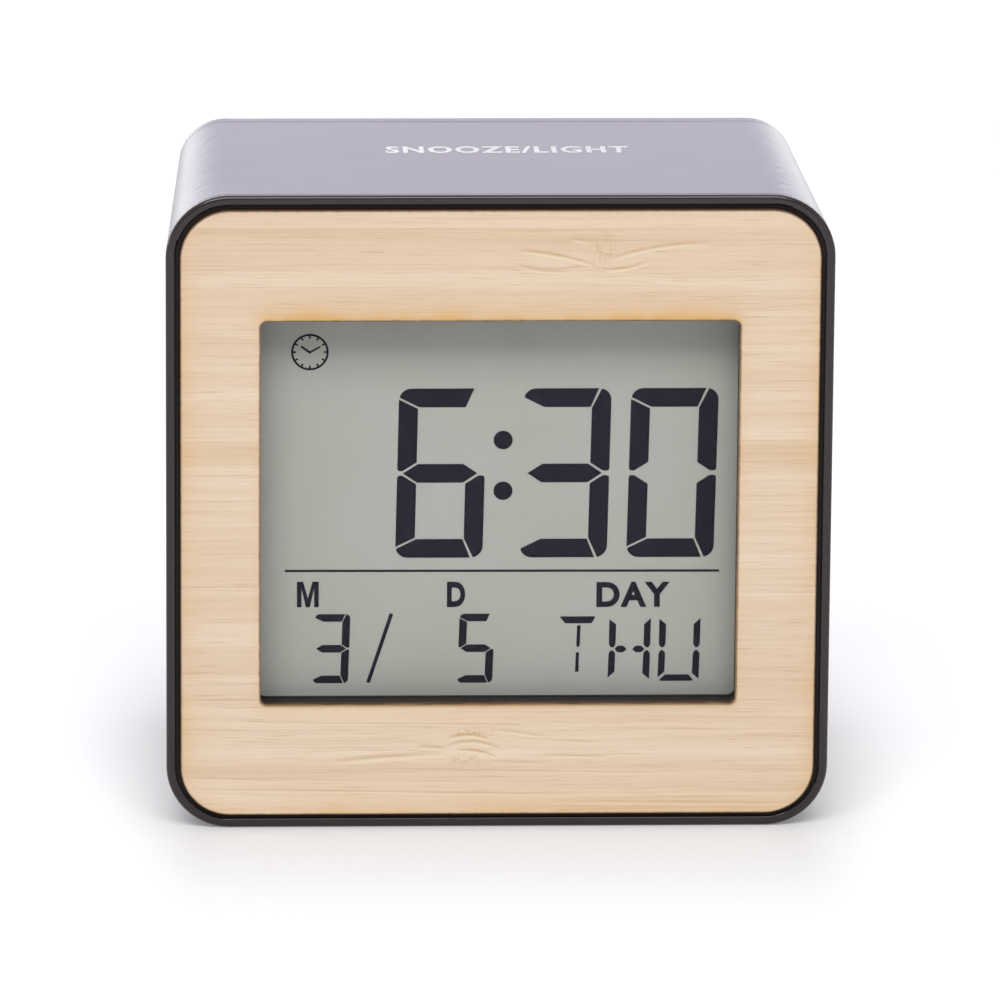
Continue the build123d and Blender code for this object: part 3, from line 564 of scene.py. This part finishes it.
def sheet(name, outlines, kind, rings=()):
    """Joins outlines, given as lists of (u, v), into thin closed prisms.

    Each of rings is a pair of outlines, outer and inner, for a prism with a hole.
    """
    place, material, body, slot = kind
    bm = bmesh.new()

    def corners(outline, t):
        return [bm.verts.new(place(u, v, t)) for u, v in outline]

    for outer, inner in rings:
        front_out, front_in = corners(outer, MARK_THICKNESS), corners(inner, MARK_THICKNESS)
        back_out, back_in = corners(outer, 0.0), corners(inner, 0.0)
        for a, b in ((front_out, front_in), (front_in, back_in), (back_in, back_out), (back_out, front_out)):
            add_prism_sides(bm, a, b)
    for outline in outlines:
        turn = sum(a[0] * b[1] - b[0] * a[1] for a, b in zip(outline, outline[1:] + outline[:1]))
        points = outline if turn > 0 else outline[::-1]
        front, back = corners(points, MARK_THICKNESS), corners(points, 0.0)
        bm.faces.new(front)
        bm.faces.new(back[::-1])
        add_prism_sides(bm, front, back)
    bmesh.ops.recalc_face_normals(bm, faces=bm.faces)
    mesh = bpy.data.meshes.new(name)
    bm.to_mesh(mesh)
    bm.free()
    add_mark(name, mesh, material, body)


def lettering(name, text, low, high, kind, weight=0.0, spacing=1.0):
    """Plain sans lettering fitted to the box from low to high in (u, v), as a thin closed sheet."""
    place, material, body, slot = kind
    curve = bpy.data.curves.new(name, "FONT")
    curve.body = text
    curve.offset = weight
    curve.space_character = spacing
    curve.resolution_u = LETTER_STEPS
    curve.extrude = LETTER_DEPTH
    writer = bpy.data.objects.new(name + "_writer", curve)
    bpy.context.scene.collection.objects.link(writer)
    bpy.context.view_layer.update()
    mesh = bpy.data.meshes.new_from_object(writer.evaluated_get(bpy.context.evaluated_depsgraph_get()))
    bpy.data.objects.remove(writer)
    us, vs = [v.co.x for v in mesh.vertices], [v.co.y for v in mesh.vertices]
    scale_u = (high[0] - low[0]) / (max(us) - min(us))
    scale_v = (high[1] - low[1]) / (max(vs) - min(vs))
    for vertex in mesh.vertices:
        u = low[0] + (vertex.co.x - min(us)) * scale_u
        v = low[1] + (vertex.co.y - min(vs)) * scale_v
        vertex.co = place(u, v, MARK_THICKNESS if vertex.co.z > 0 else 0.0)
    bm = bmesh.new()
    bm.from_mesh(mesh)
    bmesh.ops.remove_doubles(bm, verts=bm.verts, dist=MERGE_METRES)
    bmesh.ops.recalc_face_normals(bm, faces=bm.faces)
    bm.to_mesh(mesh)
    bm.free()
    mesh.materials.clear()
    add_mark(name, mesh, material, body)


# Outlines

def arc(centre, radius, start, end, steps=8):
    angles = [math.radians(start + (end - start) * i / steps) for i in range(steps + 1)]
    return [(centre[0] + radius * math.cos(a), centre[1] + radius * math.sin(a)) for a in angles]


def disc(x, z, radius, steps=40):
    return arc((x, z), radius, 0, 360, steps)[:-1]


def stroke_line(x0, z0, x1, z1, width, width_end=None):
    """A straight stroke from one point to another, of one width or from one width to another."""
    along = Vector((x1 - x0, z1 - z0)).normalized()
    side = Vector((-along.y, along.x))
    near, far = side * width / 2, side * (width_end if width_end is not None else width) / 2
    return [(x0 + near.x, z0 + near.y), (x0 - near.x, z0 - near.y), (x1 - far.x, z1 - far.y),
            (x1 + far.x, z1 + far.y)]


def segment_outlines(wide, high):
    """Outlines for segments a to g in a cell that is wide by high strokes, with every number in strokes.

    The left corners belong to the upper and lower bars, and the right ones to the uprights.
    """
    mid = high / 2
    corner = 0.64
    left_arc = arc((corner, high - corner), corner, 158, 90)
    right_arc = arc((wide - corner, high - corner), corner, 78, 0)
    bar = left_arc + [(wide - 0.65, high), (wide - 1.07, high - 1.0), (1.07, high - 1.0), (0.05, high - 0.49)]
    left = [(0.0, high - 0.58), (1.0, high - 1.08), (1.0, mid + 0.59), (0.27, mid + 0.12), (0.13, mid + 0.12),
            (0.03, mid + 0.17), (0.0, mid + 0.26)]
    right = right_arc + [(wide, mid + 0.26), (wide - 0.03, mid + 0.17), (wide - 0.13, mid + 0.12),
                         (wide - 0.33, mid + 0.12), (wide - 1.0, mid + 0.56), (wide - 1.0, high - 1.06)]
    middle = [(0.29, mid), (1.07, mid + 0.5), (wide - 1.12, mid + 0.5), (wide - 0.38, mid),
              (wide - 1.12, mid - 0.5), (1.03, mid - 0.5)]

    def flip(outline):
        return [(u, high - v) for u, v in outline]

    return {"a": bar, "f": left, "b": right, "g": middle, "d": flip(bar), "e": flip(left), "c": flip(right)}


LIT = {"0": "abcdef", "3": "abcdg", "5": "acdfg", "6": "acdefg"}


def numeral(text, x_left, z_low, width, height, stroke, slant):
    """One numeral's lit segments. x_left is the cell's left side at its foot."""
    shapes = segment_outlines(width / stroke, height / stroke)
    return [[(x_left + u * stroke + slant * v * stroke, z_low + v * stroke) for u, v in shapes[key]]
            for key in LIT[text]]


# The numerals' foot, width, height, stroke and slant, and each one's left side
TIME_CELL = (32.50, 10.55, 21.08, 2.33, 0.0195)
TIME = (("6", -12.35), ("3", 2.66), ("0", 15.56))
COLON = ((0.60, 47.16), (0.62, 40.84))
COLON_RADIUS = 1.15
DATE_CELL = (16.78, 4.28, 8.68, 0.95, 0.034)
DATE = (("3", -22.27), ("5", -4.80))
SLASH = (-15.55, 16.85, -12.75, 25.5, 0.46)
RULE = (-25.64, 30.90, 26.83, 30.78, 0.28)


def numerals(row, cell):
    return [outline for text, x_left in row for outline in numeral(text, x_left, *cell)]


def day_letters():
    """THU in the day's own segments."""
    t_top = [(7.62, 24.98), (7.74, 25.08), (11.80, 25.08), (11.90, 24.98), (11.46, 24.20), (8.30, 24.20)]
    t_stem = [(9.72, 23.95), (10.15, 23.95), (10.07, 21.55), (9.92, 21.22), (9.72, 21.22), (9.64, 21.55)]
    t_foot = [(9.60, 20.55), (9.98, 20.55), (9.93, 18.10), (9.52, 18.10)]
    marks = [t_top, t_stem, t_foot]
    # The uprights of H and U, each an upper and a lower half, with the longer side outwards
    w = 0.83
    top_out, top_in = 24.72, 24.05
    for x, outer in ((13.62, "left"), (17.83, "right"), (19.68, "left"), (23.84, "right")):
        heads = (top_out, top_in) if outer == "left" else (top_in, top_out + 0.12)
        marks.append([(x, heads[0]), (x + w, heads[1]), (x + w - 0.06, 21.55), (x + w - 0.30, 21.15),
                      (x + 0.22, 21.15), (x - 0.04, 21.55)])
        low = 17.35 if outer == "left" else 17.15
        feet = (low, low + 0.75) if outer == "left" else (low + 0.75, low)
        marks.append([(x - 0.06, 20.40), (x + 0.20, 20.78), (x + 0.46, 20.78), (x + w - 0.08, 20.40),
                      (x + w - 0.16, feet[1]), (x - 0.16, feet[0])])
    # The two halves of H's cross bar
    for x in (14.25, 16.42):
        marks.append([(x, 20.95), (x + 0.42, 21.36), (x + 1.08, 21.36), (x + 1.50, 20.95), (x + 1.08, 20.54),
                      (x + 0.42, 20.54)])
    u_foot = [(19.72, 17.02), (19.90, 16.92), (23.62, 16.92), (23.82, 17.02), (23.28, 17.72), (20.42, 17.72)]
    return marks + [u_foot]


# The small clock face that stands for the alarm
FACE_AT = (-22.67, 58.14)
FACE_OUTER, FACE_INNER = 2.255, 2.005
TICK_FROM, TICK_TO, TICK_WIDTH = 1.66, 2.08, 0.21
# Each hand from its tail to its tip, measured from the centre, and its two widths
HANDS = ((0.06, -0.10, -1.06, 0.72, 0.30, 0.24), (-0.08, -0.08, 1.24, 0.66, 0.27, 0.17))


def face_marks():
    """The ticks and the hands of the small clock face."""
    x, z = FACE_AT
    marks = []
    for hour in range(12):
        turn = math.radians(30 * hour)
        across, up = math.cos(turn), math.sin(turn)
        marks.append(stroke_line(x + TICK_FROM * across, z + TICK_FROM * up, x + TICK_TO * across,
                                 z + TICK_TO * up, TICK_WIDTH))
    for x0, z0, x1, z1, width, width_end in HANDS:
        marks.append(stroke_line(x + x0, z + z0, x + x1, z + z1, width, width_end))
    return marks


def letter_m(x, z, width, height, stroke):
    """A capital M as one outline."""
    middle = width / 2
    points = ((0, 0), (0, height), (1.35 * stroke, height), (middle, 0.34 * height),
              (width - 1.35 * stroke, height), (width, height), (width, 0), (width - stroke, 0),
              (width - stroke, 0.72 * height), (middle + 0.42 * stroke, 0), (middle - 0.42 * stroke, 0),
              (stroke, 0.72 * height), (stroke, 0))
    return [(x + u, z + v) for u, v in points]


# The marks

sheet("time_digits", numerals(TIME, TIME_CELL) + [disc(*at, COLON_RADIUS) for at in COLON], ON_DISPLAY)
sheet("date_digits", numerals(DATE, DATE_CELL) + [stroke_line(*SLASH)], ON_DISPLAY)
sheet("day_letters", day_letters(), ON_DISPLAY)
sheet("alarm_symbol", face_marks(), ON_DISPLAY,
      rings=[(disc(*FACE_AT, FACE_OUTER, 48), disc(*FACE_AT, FACE_INNER, 48))])
sheet("display_rule", [stroke_line(*RULE)], ON_DISPLAY)
sheet("label_m", [letter_m(-24.18, 26.34, 2.64, 3.20, 0.56)], ON_DISPLAY)
lettering("label_d", "D", (-6.06, 26.30), (-3.84, 29.48), ON_DISPLAY, weight=0.045)
lettering("label_day", "DAY", (12.02, 26.24), (20.88, 29.40), ON_DISPLAY, weight=0.040, spacing=1.16)
lettering("legend_snooze", "SNOOZE/LIGHT", (-13.05, 1.55), (16.55, 5.75), ON_COVER, weight=0.034,
          spacing=1.17)

# The words on the rear: the x of the middle, half the width for each letter, and the lowest and highest z
REAR_SPACING = 1.10
KEY_WORD = (0.72, 65.2, 67.0)
SWITCH_WORD = (0.60, 46.2, 47.8)
REAR_WORDS = (
    ("MODE", -21.0, *KEY_WORD), ("SET", -7.0, *KEY_WORD), ("UP", 7.0, *KEY_WORD), ("DOWN", 21.0, *KEY_WORD),
    ("ON", 23.2, *SWITCH_WORD), ("OFF", 10.8, *SWITCH_WORD), ("ALARM", 17.5, 0.70, 50.0, 51.7),
)
for text, x, half_letter, z_low, z_high in REAR_WORDS:
    half = half_letter * len(text)
    lettering("legend_" + text.lower(), text, (-x - half, z_low), (-x + half, z_high), ON_BACK,
              spacing=REAR_SPACING)


# Camera, lamps, surround and floor

CAMERA_LENS = 347.68
CAMERA_AT = (-45.0789, -1142.3524, 345.2435)
CAMERA_YAW, CAMERA_PITCH, CAMERA_ROLL = 0.0404, 0.2657, 0.0075
SENSOR_WIDTH = 36.0
CLIP_METRES = (0.05, 40.0)

# How brightly the surround lights the clock, against how brightly it shows
SURROUND_LIGHT = 0.40

# Each lamp's name, its place, target and size in metres, its power and its colour
LAMPS = (
    ("key", (-0.08, -0.80, 1.10), (0, 0, 0.04), (1.10, 0.60), 12.95, (1.0, 0.99, 0.97)),
    ("fill", (0.95, -0.75, 0.45), (0, 0, 0.04), (0.80, 0.60), 0.95, (1, 1, 1)),
    ("back", (-0.45, 1.25, 0.42), (-0.1, 0, 0.07), (1.9, 0.62), 2.45, (0.74, 0.65, 1.0)),
)


def camera():
    """The photograph's view."""
    ahead = Vector((math.sin(CAMERA_YAW), math.cos(CAMERA_YAW), 0.0))
    right = Vector((math.cos(CAMERA_YAW), -math.sin(CAMERA_YAW), 0.0))
    up = Vector((0.0, 0.0, 1.0))
    look = ahead * math.cos(CAMERA_PITCH) - up * math.sin(CAMERA_PITCH)
    top = up * math.cos(CAMERA_PITCH) + ahead * math.sin(CAMERA_PITCH)
    across = right * math.cos(CAMERA_ROLL) + top * math.sin(CAMERA_ROLL)
    top = top * math.cos(CAMERA_ROLL) - right * math.sin(CAMERA_ROLL)
    data = bpy.data.cameras.new("camera")
    data.lens = CAMERA_LENS
    data.sensor_width = SENSOR_WIDTH
    data.clip_start, data.clip_end = CLIP_METRES
    holder = bpy.data.objects.new("camera", data)
    matrix = Matrix((across, top, -look)).transposed().to_4x4()
    matrix.translation = Vector(CAMERA_AT) * MM
    holder.matrix_world = matrix
    bpy.context.scene.collection.objects.link(holder)
    bpy.context.scene.camera = holder


def lamp(name, place, target, size, power, colour):
    data = bpy.data.lights.new(name, "AREA")
    data.shape = "RECTANGLE"
    data.size, data.size_y = size
    data.energy = power
    data.color = colour
    holder = bpy.data.objects.new(name, data)
    holder.location = place
    holder.rotation_euler = (Vector(target) - Vector(place)).to_track_quat("-Z", "Y").to_euler()
    bpy.context.scene.collection.objects.link(holder)


def world():
    """A bright surround that lights the clock less than it shows in reflections."""
    sky = bpy.data.worlds.new("studio")
    sky.use_nodes = True
    s = Nodes(sky.node_tree)
    path = s.add("ShaderNodeLightPath")
    shown = s.more_of(path.outputs["Is Camera Ray"], path.outputs["Is Glossy Ray"])
    level = s.span(shown, 0.0, 1.0, SURROUND_LIGHT, 1.0)
    x, y, z = s.parts(s.add("ShaderNodeTexCoord").outputs["Generated"])
    # The side that the display faces is dimmer than the rest, and the right is dimmer than the left
    dim = s.span(y, -0.95, -0.35, 0.45, 1.0)
    tilt = s.span(x, -0.3, 0.7, 1.06, 0.78)
    # Low down it shows brighter, but lights no more
    low = s.span(shown, 0.0, 1.0, 1.0, s.span(z, 0.03, 0.12, 2.2, 1.0))
    shine = s.add("ShaderNodeBackground")
    s.put(shine.inputs["Strength"], s.times(s.times(s.times(level, dim), tilt), low))
    s.put(shine.inputs["Color"], (0.975, 0.965, 1.0))
    s.put(s.add("ShaderNodeOutputWorld").inputs[0], shine.outputs[0])
    bpy.context.scene.world = sky


# The painted shadow on the floor round the clock: how far it reaches to the side, the front and the back,
# and the lengths that it fades by from there. It is white at FADE_END of them.
FOOT_SIDE, FOOT_FRONT, FOOT_BACK = 35.0, 20.0, 10.0
FADE_SIDE, FADE_FRONT, FADE_BACK = 17.0, 75.0, 45.0
FADE_END = 1.25
# The floor's own light: where it is white, how much less at the clock's foot as a painted shadow, and how
# much more far behind it
FLOOR_GLOW, FOOT_PAINTED_SHADOW, FAR_GLOW = 0.60, 0.45, 1.35
FAR_FROM, FAR_TO = 350.0, 900.0
# Half the floor's width and its depth under the clock, in metres
FLOOR_HALF = 4.0
FLOOR_DROP = 0.00002


def floor():
    """A floor that shows white away from the clock and a painted shadow at its foot, and is plain grey to the
    light that bounces off it.
    """
    s = Shader("floor")

    def past(value, start, length):
        return s.over(s.more_of(s.minus(value, start), 0.0), length)

    x, y, _ = s.parts(s.millimetres())
    far_x = past(s.size_of(x), FOOT_SIDE, FADE_SIDE)
    far_y = s.more_of(past(s.times(y, -1.0), FOOT_FRONT, FADE_FRONT), past(y, FOOT_BACK, FADE_BACK))
    away = s.calc("SQRT", s.plus(s.times(far_x, far_x), s.times(far_y, far_y)))
    near = s.minus(1.0, s.span(away, 0.0, FADE_END))
    # Painted shadow: the floor's own light is lowered near the clock's foot
    level = s.minus(FLOOR_GLOW, s.times(s.times(near, near), FOOT_PAINTED_SHADOW))
    level = s.plus(level, s.span(y, FAR_FROM, FAR_TO, 0.0, FAR_GLOW))

    def shade(kind, **inputs):
        node = s.add(kind)
        for key, value in inputs.items():
            s.put(node.inputs[key], value)
        return node.outputs[0]

    plain = shade("ShaderNodeBsdfDiffuse", Color=(0.80, 0.80, 0.80))
    bright = shade("ShaderNodeBsdfDiffuse", Color=(0.62, 0.62, 0.63))
    lift = shade("ShaderNodeEmission", Color=(0.985, 0.972, 1.0), Strength=level)
    both = s.add("ShaderNodeAddShader")
    s.put(both.inputs[0], bright)
    s.put(both.inputs[1], lift)
    path = s.add("ShaderNodeLightPath")
    shown = s.more_of(path.outputs["Is Camera Ray"], path.outputs["Is Glossy Ray"])
    shown = s.more_of(shown, path.outputs["Is Transmission Ray"])
    choose = s.add("ShaderNodeMixShader")
    for i, value in enumerate((shown, plain, both.outputs[0])):
        s.put(choose.inputs[i], value)
    s.put(s.out.inputs[0], choose.outputs[0])

    mesh = bpy.data.meshes.new("floor")
    corners = [(x, y, -FLOOR_DROP) for x, y in ((-FLOOR_HALF, -FLOOR_HALF), (FLOOR_HALF, -FLOOR_HALF),
                                                (FLOOR_HALF, FLOOR_HALF), (-FLOOR_HALF, FLOOR_HALF))]
    mesh.from_pydata(corners, [], [(0, 1, 2, 3)])
    mesh.materials.append(s.material)
    ground = bpy.data.objects.new("floor", mesh)
    bpy.context.scene.collection.objects.link(ground)


camera()
world()
floor()
for settings in LAMPS:
    lamp(*settings)
bpy.context.scene.view_settings.view_transform = "Standard"
